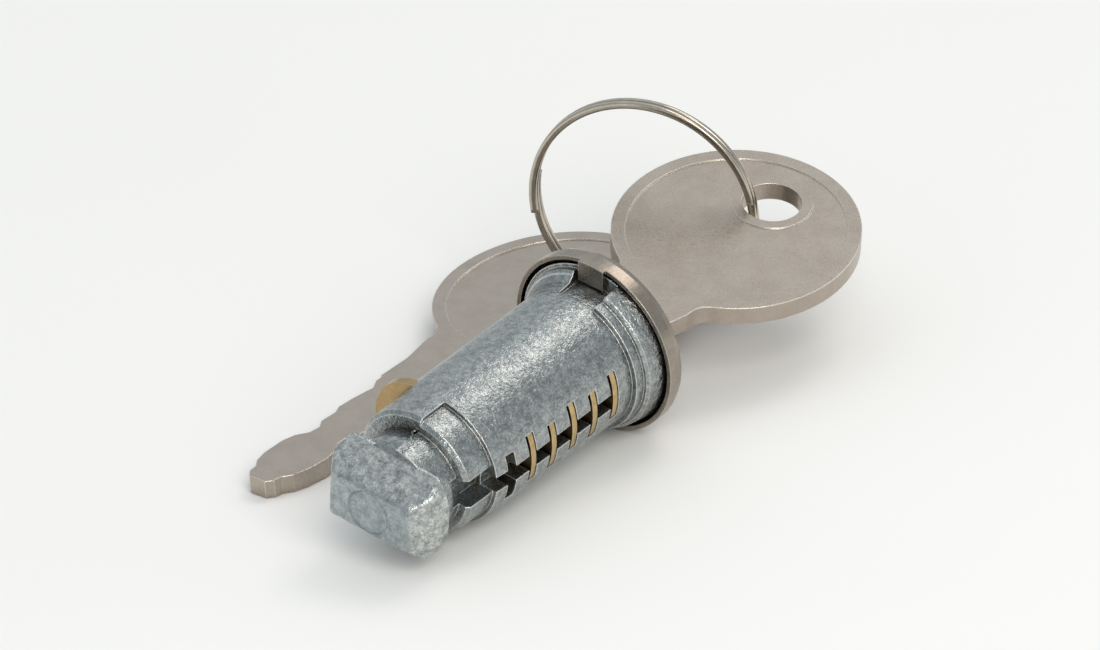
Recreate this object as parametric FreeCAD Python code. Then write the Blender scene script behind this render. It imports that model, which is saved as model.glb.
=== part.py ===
"""Wafer lock cylinder with its two flat keys on a split ring.

Frame, in millimetres: the plug's axis is the Y axis and the keys go in along -Y.
The origin is where that axis meets the rear face of the flange, the shoulder that
seats on a housing. X runs across the key blade and Z is up, square to its flat side.
"""
import FreeCAD, Part
import math
import os

from FreeCAD import Placement, Rotation, Vector

# Plug body, drawn in behind the last slot, with the stepped end that takes the latch
PLUG_RADIUS = 7.2
TAIL_RADIUS = 6.95
TAIL_LENGTH = 5.73
PLUG_CHAMFER = 0.4
STEP_LENGTH = 3.6
STEP_RADIUS = 6.5
STEP_FROM = -97.0
STEP_TO = 88.0

# Flange, its collar, and the notches for the tabs of the cap
FLANGE_RADIUS = 8.6
FLANGE_REAR_RADIUS = 8.3
FLANGE_FRONT = 3.7
FLANGE_SHELF = 2.0
FLANGE_EDGE = 0.25
HEAVY_FROM = -82.0
HEAVY_TO = 73.0
LUG_FROM = 107.0
LUG_TO = 250.0
LUG_RADIUS = 8.2
LUG_BACK = 1.2
LUG_FILLET = 0.65
COLLAR_RADIUS = 7.75
COLLAR_LENGTH = 1.1
NOTCH_RADIUS = 6.95

# Neck and driver bar at the tail
NECK_RADIUS = 5.3
NECK_RELIEF_RADIUS = 4.3
NECK_LENGTH = 3.45
BAR_LENGTH = 3.85
BAR_REACH = 6.95
BAR_HALF_WIDTH = 6.7
BAR_TIP_HALF_WIDTH = 4.65
BAR_TOP = 4.4
BAR_TIP_TOP = 2.3
BAR_BOTTOM = -4.4
BAR_TIP_BOTTOM = -2.6
BAR_HEEL = 1.5
BAR_HEEL_HALF_WIDTH = 6.3
BAR_ROUND = 1.0
MARK_RADIUS = 2.5
MARK_RISE = -0.55
MARK_DEPTH = 0.2

# Wafer slots and side grooves
SLOT_COUNT = 6
SLOT_FIRST = -3.67
SLOT_WIDTH = 1.15
TIP_GAP = 0.115
SLOT_HALF_HEIGHT = 2.6
SLOT_RISE = 0.35
SLOT_STAGGER = 0.22
GROOVE_BOTTOM = -0.5
GROOVE_TOP = 1.2
GROOVE_FLOOR = 4.9
END_GROOVE_BOTTOM = -0.6
END_GROOVE_TOP = 2.3
END_GROOVE_FLOOR = 4.3

# Wafers, their windows and lugs, and the chambers of their springs
WAFER_GAP = 0.1
WAFER_PLAY = 0.3
WAFER_SIDE_GAP = 0.06
WAFER_REACH = 7.12
WAFER_TRAVEL = 0.75
WINDOW_HALF_HEIGHT = 1.2
LUG_HEIGHT = 1.35
LUG_LENGTH = 1.0
CHAMBER_WIDTH = 1.6
CHAMBER_LENGTH = 3.3
CHAMBER_GAP = 0.12
SPRING_RADIUS = 0.5
SPRING_WALL = 0.2

# Retaining wafer, the window behind its nose, and the post that stands in it
RETAINER_HALF_HEIGHT = 4.75
RETAINER_RISE = 0.35
RETAINER_NOSE = -9.3
RETAINER_HEEL = 4.8
RETAINER_SHOULDER = 0.4
RETAINER_TRAVEL = 2.2
RETAINER_WINDOW_START = -3.2
RETAINER_WINDOW_HALF = 0.75
POST_START = 0.6
POST_LENGTH = 0.7
POST_HALF_HEIGHT = 0.6
POST_GAP = 0.03

# Key blank: bow, neck and blade; the neck narrows in two slants toward the shoulder
KEY_THICKNESS = 1.9
BOW_HALF_LENGTH = 12.4
BOW_WIDTH_SHARE = 0.9516
HOLE_RADIUS = 2.9
HOLE_EDGE = 6.95
NECK_HALF_WIDTH = 4.7
NECK_FILLET = 2.2
NECK_DEPTH = 8.55
NECK_TAPER = 7.65
WAIST_RISE = 3.95
WAIST_HALF_WIDTH = 3.8
SHOULDER_HALF_WIDTH = 3.6
BLADE_HALF_WIDTH = 3.3
RIM_WIDTH = 1.35
RIM_HEIGHT = 0.12
EYELET_WIDTH = 1.05

# Blade cuts: share of the blade's length behind the shoulder and its half width there
BLADE_CUTS = (
    (0.045, 3.3),
    (0.100, 2.6),
    (0.219, 2.85),
    (0.317, 2.85),
    (0.360, 2.4),
    (0.454, 2.4),
    (0.500, 1.75),
    (0.560, 1.85),
    (0.617, 2.65),
    (0.685, 2.95),
    (0.810, 2.8),
    (0.879, 2.4),
    (0.924, 1.7),
    (0.967, 1.6),
)
BLADE_LENGTH = 21.0
BLADE_TIP_HALF_WIDTH = 1.0

# Keyway, its mouth in the flange, and the clearances round the key
KEY_SIDE_GAP = 0.1
MOUTH_SIDE_GAP = 0.25
MOUTH_DEPTH = 1.05
SEAT_GAP = 0.02

# Face cap
CAP_SHEET = 0.45
CAP_BORE_RADIUS = 9.0
CAP_BACK = 1.95
CAP_ROUND = 0.9
CAP_SLOT_GAP = 0.25
TAB_WIDTH = 3.0
TAB_GAP = 0.15
TAB_ANGLES = (93.0, 264.0)

# Split ring: where its wire crosses the two holes, across and along each key
RING_RADIUS = 11.14
RING_WIRE_AXIAL = 0.57
RING_WIRE_RADIAL = 0.75
RING_COIL_GAP = 0.06
RING_OVERLAP = 20.0
RING_START = 175.0
RING_AT_KEY = (-1.13, -1.24)
RING_AT_SPARE = (-0.25, -0.70)
RING_SPREAD = 127.17
RING_TOWARD_KEY = (0.913, 0.352, 0.206)
RING_NORMAL = (-0.327, 0.934, -0.147)

# Loose key: its direction from tip to hole, and the way that its flat side faces
SPARE_DIRECTION = (0.07, 0.997, -0.03)
SPARE_FACE = (-0.188, 0.043, 0.981)

X_AXIS = Vector(1, 0, 0)
Y_AXIS = Vector(0, 1, 0)
Z_AXIS = Vector(0, 0, 1)
ORIGIN = Vector(0, 0, 0)
TINY = 1e-3
PAST = 1.0
ROUND_STEPS = 2

BOW_HALF_WIDTH = BOW_HALF_LENGTH * BOW_WIDTH_SHARE
HOLE_OFFSET = BOW_HALF_LENGTH - HOLE_EDGE
SHOULDER_DEPTH = BOW_HALF_LENGTH + NECK_DEPTH
MOUTH_FLOOR = FLANGE_FRONT - MOUTH_DEPTH
BOW_CENTRE = MOUTH_FLOOR + SEAT_GAP + SHOULDER_DEPTH
BLADE_TIP = MOUTH_FLOOR + SEAT_GAP - BLADE_LENGTH

RETAINER_THICKNESS = SLOT_WIDTH - 2 * WAFER_GAP
WAFER_THICKNESS = RETAINER_THICKNESS - WAFER_PLAY
SLOT_LAST = BLADE_TIP - TIP_GAP - SLOT_WIDTH / 2
SLOT_PITCH = (SLOT_FIRST - SLOT_LAST) / (SLOT_COUNT - 1)
TAPER_START = SLOT_LAST + SLOT_WIDTH / 2
PLUG_BACK = SLOT_LAST - TAIL_LENGTH
STEP_START = PLUG_BACK + STEP_LENGTH
BAR_BACK = PLUG_BACK - NECK_LENGTH
BAR_TIP = BAR_BACK - BAR_LENGTH


def block(x_low, x_high, y_low, y_high, z_low, z_high):
    """Box between two corners."""
    corner = Vector(x_low, y_low, z_low)
    return Part.makeBox(x_high - x_low, y_high - y_low, z_high - z_low, corner)


def rod(radius, y_low, y_high, x=0.0, z=0.0):
    """Cylinder along Y."""
    return Part.makeCylinder(radius, y_high - y_low, Vector(x, y_low, z), Y_AXIS)


def prism(points, direction):
    """Closed straight-sided outline pushed along a direction."""
    outline = Part.makePolygon(list(points) + [points[0]])
    return Part.Face(outline).extrude(direction)


def turned(profile, start=0.0, end=360.0):
    """Outline of (radius, y) points turned about Y, from one angle to another.

    Angles run from +X up to +Z.
    """
    points = [Vector(radius, y, 0) for radius, y in profile]
    face = Part.Face(Part.makePolygon(points + [points[0]]))
    face.rotate(ORIGIN, Y_AXIS, -start)
    return face.revolve(ORIGIN, -Y_AXIS, end - start)


def quarter_turns():
    """Angles of the few straight steps in which a quarter round is drawn."""
    return [math.pi / 2 * step / ROUND_STEPS for step in range(ROUND_STEPS + 1)]


def rounded_corner(radius, front, size):
    """(radius, y) points round an outer corner, from its side to its front."""
    return [
        (radius - size + size * math.cos(turn), front - size + size * math.sin(turn))
        for turn in quarter_turns()
    ]


def hollow_corner(radius, low, width, height):
    """(radius, y) points of a hollow fillet, up from a round body."""
    return [
        (radius + width * (1 - math.cos(turn)), low + height * math.sin(turn))
        for turn in quarter_turns()
    ]


def slot_place(index):
    """Y of a slot's middle, counted from the flange."""
    return SLOT_FIRST - index * SLOT_PITCH


def wafer_place(index):
    """Y of a wafer's middle: it lies toward the flange in its slot."""
    return slot_place(index) + WAFER_PLAY / 2


def slot_rise(index):
    """Height of a slot's middle above the key's plane; neighbours are staggered."""
    return SLOT_RISE + (SLOT_STAGGER if index % 2 == 0 else -SLOT_STAGGER)


def spring_side(index):
    """Direction along X in which a wafer's spring pushes it."""
    return -1 if index % 2 == 0 else 1


def plug_blank():
    """Turned outside of the plug: body, flange, collar, lug and stepped end."""
    body = turned([
        (0, PLUG_BACK),
        (TAIL_RADIUS - PLUG_CHAMFER, PLUG_BACK),
        (TAIL_RADIUS, PLUG_BACK + PLUG_CHAMFER),
        (TAIL_RADIUS, STEP_START),
        (PLUG_RADIUS, TAPER_START),
        (PLUG_RADIUS, -COLLAR_LENGTH),
        (NOTCH_RADIUS, -COLLAR_LENGTH),
        (NOTCH_RADIUS, FLANGE_SHELF),
        (FLANGE_RADIUS, FLANGE_SHELF),
        (FLANGE_RADIUS, FLANGE_FRONT - FLANGE_EDGE),
        (FLANGE_RADIUS - FLANGE_EDGE, FLANGE_FRONT),
        (0, FLANGE_FRONT),
    ])
    heavy = turned([
        (0, -COLLAR_LENGTH),
        (COLLAR_RADIUS, -COLLAR_LENGTH),
        (COLLAR_RADIUS, 0),
        (FLANGE_REAR_RADIUS - FLANGE_EDGE, 0),
        (FLANGE_REAR_RADIUS, FLANGE_EDGE),
        (FLANGE_RADIUS, FLANGE_SHELF),
        (0, FLANGE_SHELF),
    ], HEAVY_FROM, HEAVY_TO)
    fillet = hollow_corner(PLUG_RADIUS, -COLLAR_LENGTH, LUG_FILLET, LUG_BACK + COLLAR_LENGTH)
    lug = turned([(0, -COLLAR_LENGTH)] + fillet + [
        (LUG_RADIUS - FLANGE_EDGE, LUG_BACK),
        (LUG_RADIUS, LUG_BACK + FLANGE_EDGE),
        (LUG_RADIUS, FLANGE_SHELF),
        (0, FLANGE_SHELF),
    ], LUG_FROM, LUG_TO)
    step = turned([
        (STEP_RADIUS - PLUG_CHAMFER, PLUG_BACK),
        (STEP_RADIUS - PLUG_CHAMFER, PLUG_BACK - PAST),
        (PLUG_RADIUS + PAST, PLUG_BACK - PAST),
        (PLUG_RADIUS + PAST, STEP_START),
        (STEP_RADIUS, STEP_START),
        (STEP_RADIUS, PLUG_BACK + PLUG_CHAMFER),
    ], STEP_FROM, STEP_TO)
    return body.multiFuse([heavy, lug]).removeSplitter().cut(step)


def rounded_along(shape, direction, radius):
    """Shape with its straight edges along one direction rounded."""
    edges = [edge for edge in shape.Edges if edge.tangentAt(edge.FirstParameter).cross(direction).Length < TINY]
    return shape.makeFillet(radius, edges)


def driver_bar():
    """Tapered bar at the tail that turns the latch, its ends on the plug's round."""
    heel = BAR_BACK - BAR_HEEL
    side = [
        Vector(-BAR_HALF_WIDTH, BAR_BACK, BAR_TOP),
        Vector(-BAR_HALF_WIDTH, BAR_TIP, BAR_TIP_TOP),
        Vector(-BAR_HALF_WIDTH, BAR_TIP, BAR_TIP_BOTTOM),
        Vector(-BAR_HALF_WIDTH, heel, BAR_BOTTOM),
        Vector(-BAR_HALF_WIDTH, BAR_BACK, BAR_BOTTOM),
    ]
    half = [
        (BAR_HALF_WIDTH, BAR_BACK),
        (BAR_HEEL_HALF_WIDTH, heel),
        (BAR_TIP_HALF_WIDTH, BAR_TIP),
    ]
    plan = [Vector(x, y, BAR_BOTTOM) for x, y in half]
    plan += [Vector(-x, y, BAR_BOTTOM) for x, y in reversed(half)]
    bar = rounded_along(prism(side, X_AXIS * (2 * BAR_HALF_WIDTH)), X_AXIS, BAR_ROUND)
    plan = rounded_along(prism(plan, Z_AXIS * (BAR_TOP - BAR_BOTTOM)), Z_AXIS, BAR_ROUND)
    bar = bar.common(plan).common(rod(BAR_REACH, BAR_TIP, BAR_BACK))
    mark = rod(MARK_RADIUS, BAR_TIP - PAST, BAR_TIP + MARK_DEPTH, 0, MARK_RISE)
    return bar.cut(mark)


def neck():
    """Round neck between the plug and the bar, relieved on its left side."""
    low = BAR_BACK - BAR_ROUND
    high = PLUG_BACK + PAST
    full = turned([(0, low), (NECK_RADIUS, low), (NECK_RADIUS, high), (0, high)], -90, 90)
    relieved = rod(NECK_RELIEF_RADIUS, low, high)
    inside = block(-NECK_RADIUS, NECK_RADIUS, low, BAR_BACK, -NECK_RADIUS, BAR_TOP - BAR_ROUND)
    outside = block(-NECK_RADIUS, NECK_RADIUS, BAR_BACK, high, -NECK_RADIUS, NECK_RADIUS)
    return full.fuse(relieved).common(inside.fuse(outside))


def wafer_slots():
    """Slots across the plug, with the side grooves and spring chambers."""
    cuts = []
    across = PLUG_RADIUS + PAST
    for index in range(SLOT_COUNT):
        middle = slot_place(index)
        rise = slot_rise(index)
        low = middle - SLOT_WIDTH / 2
        high = middle + SLOT_WIDTH / 2
        cuts.append(block(-across, across, low, high, rise - SLOT_HALF_HEIGHT, rise + SLOT_HALF_HEIGHT))
        if index < SLOT_COUNT - 1:
            cuts.append(spring_chamber(index))
    low = slot_place(SLOT_COUNT - 1) - SLOT_WIDTH / 2
    tall = RETAINER_HALF_HEIGHT + WAFER_SIDE_GAP
    end = RETAINER_SHOULDER + RETAINER_TRAVEL + CHAMBER_GAP
    cuts.append(block(-across, end, low, low + SLOT_WIDTH, RETAINER_RISE - tall, RETAINER_RISE + tall))
    for sign in (1, -1):
        inner, outer = sorted((sign * GROOVE_FLOOR, sign * across))
        cuts.append(block(inner, outer, STEP_START, SLOT_FIRST, GROOVE_BOTTOM, GROOVE_TOP))
    cuts.append(block(END_GROOVE_FLOOR, across, PLUG_BACK - PAST, STEP_START,
                      END_GROOVE_BOTTOM, END_GROOVE_TOP))
    return cuts


def chamber_span(index):
    """X range of a wafer's spring chamber: the lug's travel and the spring."""
    side = spring_side(index)
    stop = side * (LUG_LENGTH / 2 + WAFER_TRAVEL + CHAMBER_GAP)
    seat = -side * (LUG_LENGTH / 2 + CHAMBER_LENGTH)
    return sorted((stop, seat))


def spring_height(index):
    """Height of a wafer's spring, the middle of its lug."""
    return slot_rise(index) + SLOT_HALF_HEIGHT - WAFER_SIDE_GAP + LUG_HEIGHT / 2


def spring_chamber(index):
    """Pocket above a slot for a wafer's lug and spring."""
    low, high = chamber_span(index)
    middle = wafer_place(index)
    base = slot_rise(index)
    top = base + SLOT_HALF_HEIGHT + LUG_HEIGHT + WAFER_SIDE_GAP
    return block(low, high, middle - CHAMBER_WIDTH / 2, middle + CHAMBER_WIDTH / 2, base, top)


def keyway():
    """Passage for the blade, with the wider mouth that takes the neck."""
    half_width = BLADE_HALF_WIDTH + KEY_SIDE_GAP
    half_height = KEY_THICKNESS / 2 + KEY_SIDE_GAP
    mouth_half_width = SHOULDER_HALF_WIDTH + MOUTH_SIDE_GAP
    back = slot_place(SLOT_COUNT - 1)
    passage = block(-half_width, half_width, back, FLANGE_FRONT, -half_height, half_height)
    mouth = block(-mouth_half_width, mouth_half_width, MOUTH_FLOOR, FLANGE_FRONT + PAST,
                  -half_height, half_height)
    return passage.fuse(mouth)


def retainer_post():
    """Post on the back wall of the last slot: the spring's seat and the wafer's stop."""
    middle = slot_place(SLOT_COUNT - 1)
    return block(POST_START, POST_START + POST_LENGTH, middle - SLOT_WIDTH / 2 - WAFER_GAP,
                 middle + SLOT_WIDTH / 2, RETAINER_RISE - POST_HALF_HEIGHT,
                 RETAINER_RISE + POST_HALF_HEIGHT)


def plug():
    """Die-cast plug in one piece with its flange, neck and driver bar."""
    shape = plug_blank().multiFuse([neck(), driver_bar()])
    shape = shape.cut(wafer_slots() + [keyway()])
    return shape.fuse(retainer_post()).removeSplitter()


def wafer(index):
    """Flat brass wafer with a window for the blade and a lug for its spring."""
    rise = slot_rise(index)
    middle = wafer_place(index)
    low = middle - WAFER_THICKNESS / 2
    high = middle + WAFER_THICKNESS / 2
    half_height = SLOT_HALF_HEIGHT - WAFER_SIDE_GAP
    plate = block(-WAFER_REACH, WAFER_REACH, low, high, rise - half_height, rise + half_height)
    plate = plate.common(rod(WAFER_REACH, low, high))
    half = LUG_LENGTH / 2
    lug = block(-half, half, low, high, rise, rise + half_height + LUG_HEIGHT)
    window_half_width = BLADE_HALF_WIDTH + WAFER_TRAVEL + KEY_SIDE_GAP
    window = block(-window_half_width, window_half_width, low, high, -WINDOW_HALF_HEIGHT, WINDOW_HALF_HEIGHT)
    return plate.fuse(lug).cut(window).removeSplitter()


def sleeve(start, end, y, z):
    """Coil spring along X at its outer and inner size, as a plain sleeve."""
    low = min(start, end) + SEAT_GAP
    length = abs(end - start) - 2 * SEAT_GAP
    outer = Part.makeCylinder(SPRING_RADIUS, length, Vector(low, y, z), X_AXIS)
    inner = Part.makeCylinder(SPRING_RADIUS - SPRING_WALL, length, Vector(low, y, z), X_AXIS)
    return outer.cut(inner)


def wafer_spring(index):
    """Small spring between a wafer's lug and the end of its chamber."""
    away = -spring_side(index)
    lug_face = away * LUG_LENGTH / 2
    seat = away * (LUG_LENGTH / 2 + CHAMBER_LENGTH)
    return sleeve(lug_face, seat, wafer_place(index), spring_height(index))


def retaining_wafer():
    """Wide plate with a full-round nose that holds the plug in its housing."""
    last = SLOT_COUNT - 1
    low = slot_place(last) - RETAINER_THICKNESS / 2
    high = slot_place(last) + RETAINER_THICKNESS / 2
    nose_centre = RETAINER_NOSE + RETAINER_HALF_HEIGHT
    head = block(nose_centre, RETAINER_SHOULDER, low, high,
                 RETAINER_RISE - RETAINER_HALF_HEIGHT, RETAINER_RISE + RETAINER_HALF_HEIGHT)
    nose = rod(RETAINER_HALF_HEIGHT, low, high, nose_centre, RETAINER_RISE)
    rise = slot_rise(last)
    half_height = SLOT_HALF_HEIGHT - WAFER_SIDE_GAP
    tongue = block(RETAINER_SHOULDER - PAST, RETAINER_HEEL, low, high, rise - half_height, rise + half_height)
    tongue = tongue.common(rod(WAFER_REACH, low, high, -RETAINER_TRAVEL))
    window_end = POST_START + POST_LENGTH + POST_GAP
    window = block(RETAINER_WINDOW_START, window_end, low, high,
                   RETAINER_RISE - RETAINER_WINDOW_HALF, RETAINER_RISE + RETAINER_WINDOW_HALF)
    return head.multiFuse([nose, tongue]).cut(window).removeSplitter()


def retaining_spring():
    """Spring between the window's nose end and the post."""
    return sleeve(RETAINER_WINDOW_START, POST_START, slot_place(SLOT_COUNT - 1), RETAINER_RISE)


def is_neck_corner(edge):
    """True for the two upright edges where the neck meets the bow."""
    first = edge.Vertexes[0]
    last = edge.Vertexes[-1]
    upright = math.hypot(first.X - last.X, first.Y - last.Y) < TINY
    at_neck = abs(abs(first.X) - NECK_HALF_WIDTH) < TINY
    at_bow = NECK_TAPER - SHOULDER_DEPTH + TINY < first.Y < -BOW_HALF_LENGTH / 2
    return upright and at_neck and at_bow and len(edge.Vertexes) == 2


def key_blank():
    """Key blank in its own frame: bow round the origin, blade along -Y."""
    bow = Part.Face(Part.Wire(Part.Ellipse(ORIGIN, BOW_HALF_LENGTH, BOW_HALF_WIDTH).toShape()))
    bow.rotate(ORIGIN, Z_AXIS, 90)
    right = [
        (NECK_HALF_WIDTH, 0),
        (NECK_HALF_WIDTH, NECK_TAPER - SHOULDER_DEPTH),
        (WAIST_HALF_WIDTH, WAIST_RISE - SHOULDER_DEPTH),
        (SHOULDER_HALF_WIDTH, -SHOULDER_DEPTH),
        (BLADE_HALF_WIDTH, -SHOULDER_DEPTH),
    ]
    right += [(half, -SHOULDER_DEPTH - share * BLADE_LENGTH) for share, half in BLADE_CUTS]
    right += [(BLADE_TIP_HALF_WIDTH, -SHOULDER_DEPTH - BLADE_LENGTH)]
    left = [(-x, y) for x, y in reversed(right)]
    stem = prism([Vector(x, y, 0) for x, y in right + left], Z_AXIS * KEY_THICKNESS)
    blank = bow.extrude(Z_AXIS * KEY_THICKNESS).fuse(stem).removeSplitter()
    corners = [edge for edge in blank.Edges if is_neck_corner(edge)]
    return blank.makeFillet(NECK_FILLET, corners)


def key():
    """Flat two-sided key with a coined bow, in its own frame, middle plane at Z 0."""
    inner = Part.Ellipse(ORIGIN, BOW_HALF_LENGTH - RIM_WIDTH, BOW_HALF_WIDTH - RIM_WIDTH)
    panel = Part.Face(Part.Wire(inner.toShape()))
    panel.rotate(ORIGIN, Z_AXIS, 90)
    panel = panel.extrude(Z_AXIS * RIM_HEIGHT)
    hole_place = Vector(0, HOLE_OFFSET, 0)
    lower = panel.cut(Part.makeCylinder(HOLE_RADIUS + EYELET_WIDTH, KEY_THICKNESS, hole_place))
    upper = lower.copy()
    upper.translate(Z_AXIS * (KEY_THICKNESS - RIM_HEIGHT))
    hole = Part.makeCylinder(HOLE_RADIUS, KEY_THICKNESS, hole_place)
    shape = key_blank().cut([lower, upper, hole]).removeSplitter()
    shape.translate(Z_AXIS * (-KEY_THICKNESS / 2))
    return shape


def key_in_lock():
    """The key that stands in the plug."""
    shape = key()
    shape.translate(Y_AXIS * BOW_CENTRE)
    return shape


def unit(numbers):
    """Direction of length one."""
    return Vector(*numbers).normalize()


def ring_rotation():
    """Turn of the ring: Z to its normal, X from its centre to the key's hole."""
    normal = unit(RING_NORMAL)
    across = normal.cross(unit(RING_TOWARD_KEY)).normalize()
    return Rotation(across.cross(normal), across, normal, "ZXY")


def ring_centre():
    """Centre of the ring, one radius away from where its wire crosses the key's hole."""
    across, along = RING_AT_KEY
    crossing = Vector(across, BOW_CENTRE + HOLE_OFFSET + along, 0)
    return crossing - ring_rotation().multVec(X_AXIS) * RING_RADIUS


def spare_key():
    """The loose key that hangs from the ring."""
    along = unit(SPARE_DIRECTION)
    across = along.cross(unit(SPARE_FACE)).normalize()
    turn = Rotation(across, along, across.cross(along), "YZX")
    spread = Rotation(Z_AXIS, RING_SPREAD).multVec(X_AXIS)
    crossing = ring_centre() + ring_rotation().multVec(spread) * RING_RADIUS
    offset = Vector(RING_AT_SPARE[0], HOLE_OFFSET + RING_AT_SPARE[1], 0)
    shape = key()
    shape.Placement = Placement(crossing - turn.multVec(offset), turn).multiply(shape.Placement)
    return shape


def split_ring():
    """Two turns of flat wire and a short overlap, in the ring's own frame.

    The wire climbs evenly, and lies level about the ring's plane where the loose key hangs.
    """
    inner = RING_RADIUS - RING_WIRE_RADIAL / 2
    outer = RING_RADIUS + RING_WIRE_RADIAL / 2
    half = RING_WIRE_AXIAL / 2
    corners = [(inner, -half), (outer, -half), (outer, half), (inner, half), (inner, -half)]
    section = Part.makePolygon([Vector(x, 0, z) for x, z in corners])
    pitch = RING_WIRE_AXIAL + RING_COIL_GAP
    turns = 2 + RING_OVERLAP / 360.0
    spine = Part.Wire(Part.makeHelix(pitch, pitch * turns, RING_RADIUS))
    shape = spine.makePipeShell([section], True, True)
    at_spare = ((RING_SPREAD - RING_START) % 360.0) / 360.0
    shape.translate(Z_AXIS * (-pitch * (at_spare + 0.5)))
    return shape


def placed_ring():
    """The split ring through the holes of both keys."""
    shape = split_ring()
    shape.rotate(ORIGIN, Z_AXIS, RING_START)
    shape.Placement = Placement(ring_centre(), ring_rotation()).multiply(shape.Placement)
    return shape


def crimp_tab(angle):
    """Tab folded in behind the flange, at an angle round the plug."""
    outer_radius = CAP_BORE_RADIUS + CAP_SHEET
    inner_radius = NOTCH_RADIUS + TAB_GAP
    tab = block(inner_radius, outer_radius, CAP_BACK - CAP_SHEET, CAP_BACK, -TAB_WIDTH / 2, TAB_WIDTH / 2)
    tab = tab.common(rod(outer_radius, CAP_BACK - CAP_SHEET, CAP_BACK))
    tab.rotate(ORIGIN, Y_AXIS, -angle)
    return tab


def face_cap():
    """Pressed sheet cap over the flange, with a rolled edge, a key slot and two tabs."""
    front = FLANGE_FRONT + SEAT_GAP + CAP_SHEET
    outer_radius = CAP_BORE_RADIUS + CAP_SHEET
    edge = rounded_corner(outer_radius, front, CAP_ROUND)
    shell = turned([(0, CAP_BACK), (outer_radius, CAP_BACK)] + edge + [(0, front)])
    edge = rounded_corner(CAP_BORE_RADIUS, front - CAP_SHEET, CAP_ROUND - CAP_SHEET)
    back = CAP_BACK - PAST
    inside = turned([(0, back), (CAP_BORE_RADIUS, back)] + edge + [(0, front - CAP_SHEET)])
    half_width = SHOULDER_HALF_WIDTH + CAP_SLOT_GAP
    half_height = KEY_THICKNESS / 2 + CAP_SLOT_GAP
    slot = block(-half_width, half_width, front - 2 * CAP_SHEET, front + PAST, -half_height, half_height)
    shell = shell.cut([inside, slot])
    tabs = [crimp_tab(angle) for angle in TAB_ANGLES]
    return shell.multiFuse(tabs).removeSplitter()


def nodes():
    """Every node by name."""
    pieces = {"plug_body": plug(), "face_cap": face_cap()}
    for index in range(SLOT_COUNT - 1):
        pieces["wafer_%d" % (index + 1)] = wafer(index)
        pieces["wafer_spring_%d" % (index + 1)] = wafer_spring(index)
    pieces["retaining_wafer"] = retaining_wafer()
    pieces["retaining_spring"] = retaining_spring()
    pieces["key"] = key_in_lock()
    pieces["spare_key"] = spare_key()
    pieces["split_ring"] = placed_ring()
    return pieces


def main():
    """Build every node and write it to its own file."""
    os.makedirs("parts", exist_ok=True)
    for name, shape in nodes().items():
        if not shape.isValid() or len(shape.Solids) != 1:
            print("not one valid solid:", name)
        shape.exportStep(os.path.join("parts", name + ".step"))
        print(name, "volume", round(shape.Volume, 2))


main()
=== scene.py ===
"""Wafer lock cylinder with two keys on a split ring: finishes, fine forms, light and camera.

Everything is in metres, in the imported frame: the plug's axis is Y, the keys go in along -Y,
Z is up and square to the flat side of the key that stands in the lock.
"""
import logging
from dataclasses import dataclass
from enum import Enum
from typing import Any, Iterable

import bmesh
import bpy
import numpy as np
from mathutils import Matrix, Vector


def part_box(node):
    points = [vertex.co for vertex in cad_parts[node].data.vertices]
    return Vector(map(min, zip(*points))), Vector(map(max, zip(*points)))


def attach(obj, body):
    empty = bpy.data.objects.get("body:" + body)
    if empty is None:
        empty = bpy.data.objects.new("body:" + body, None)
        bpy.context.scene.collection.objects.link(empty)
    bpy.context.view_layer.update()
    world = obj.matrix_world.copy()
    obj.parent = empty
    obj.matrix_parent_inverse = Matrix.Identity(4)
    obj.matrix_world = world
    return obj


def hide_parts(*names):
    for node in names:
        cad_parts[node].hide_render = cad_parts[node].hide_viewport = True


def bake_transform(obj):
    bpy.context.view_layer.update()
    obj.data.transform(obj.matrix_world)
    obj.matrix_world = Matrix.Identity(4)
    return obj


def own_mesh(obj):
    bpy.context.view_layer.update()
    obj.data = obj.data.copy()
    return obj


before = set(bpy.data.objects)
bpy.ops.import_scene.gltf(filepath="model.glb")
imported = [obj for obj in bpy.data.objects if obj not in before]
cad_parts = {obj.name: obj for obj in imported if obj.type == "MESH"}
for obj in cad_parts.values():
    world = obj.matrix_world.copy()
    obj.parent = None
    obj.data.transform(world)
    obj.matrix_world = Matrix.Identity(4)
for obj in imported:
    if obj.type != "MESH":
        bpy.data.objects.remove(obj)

logging.basicConfig(level=logging.INFO, format="%(message)s")
log = logging.getLogger("lock")

MM = 0.001
FULL_TURN = 360.0

Array = np.ndarray
Pair = tuple[float, float]
Point = tuple[float, float, float]
Piece = bpy.types.Object
Socket = bpy.types.NodeSocket
Tree = bpy.types.NodeTree

# The circle of the ejector pin's mark on the bar's end, in millimetres: how far it lies above the
# plug's axis, and its radius. The bar sinks inside it, and the bar's finish paints shade along
# its line.
MARK_RISE = -0.12
MARK_RADIUS = 2.35

# The colour sockets of a Mix node.
COLOUR_A, COLOUR_B, COLOUR_OUT = 6, 7, 2


def linear(colour: str) -> tuple[float, float, float, float]:
    """Turn an sRGB hex colour into linear RGBA.

    A level is divided by 12.92 near black and follows a power of 2.4 above.

    Args:
        colour: "#rrggbb".

    Returns:
        Red, green, blue and alpha, linear.
    """
    levels = np.array([int(colour[i:i + 2], 16) for i in (1, 3, 5)]) / 255.0
    low = levels / 12.92
    high = ((levels + 0.055) / 1.055) ** 2.4
    red, green, blue = np.where(levels <= 0.04045, low, high)
    return float(red), float(green), float(blue), 1.0


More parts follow.
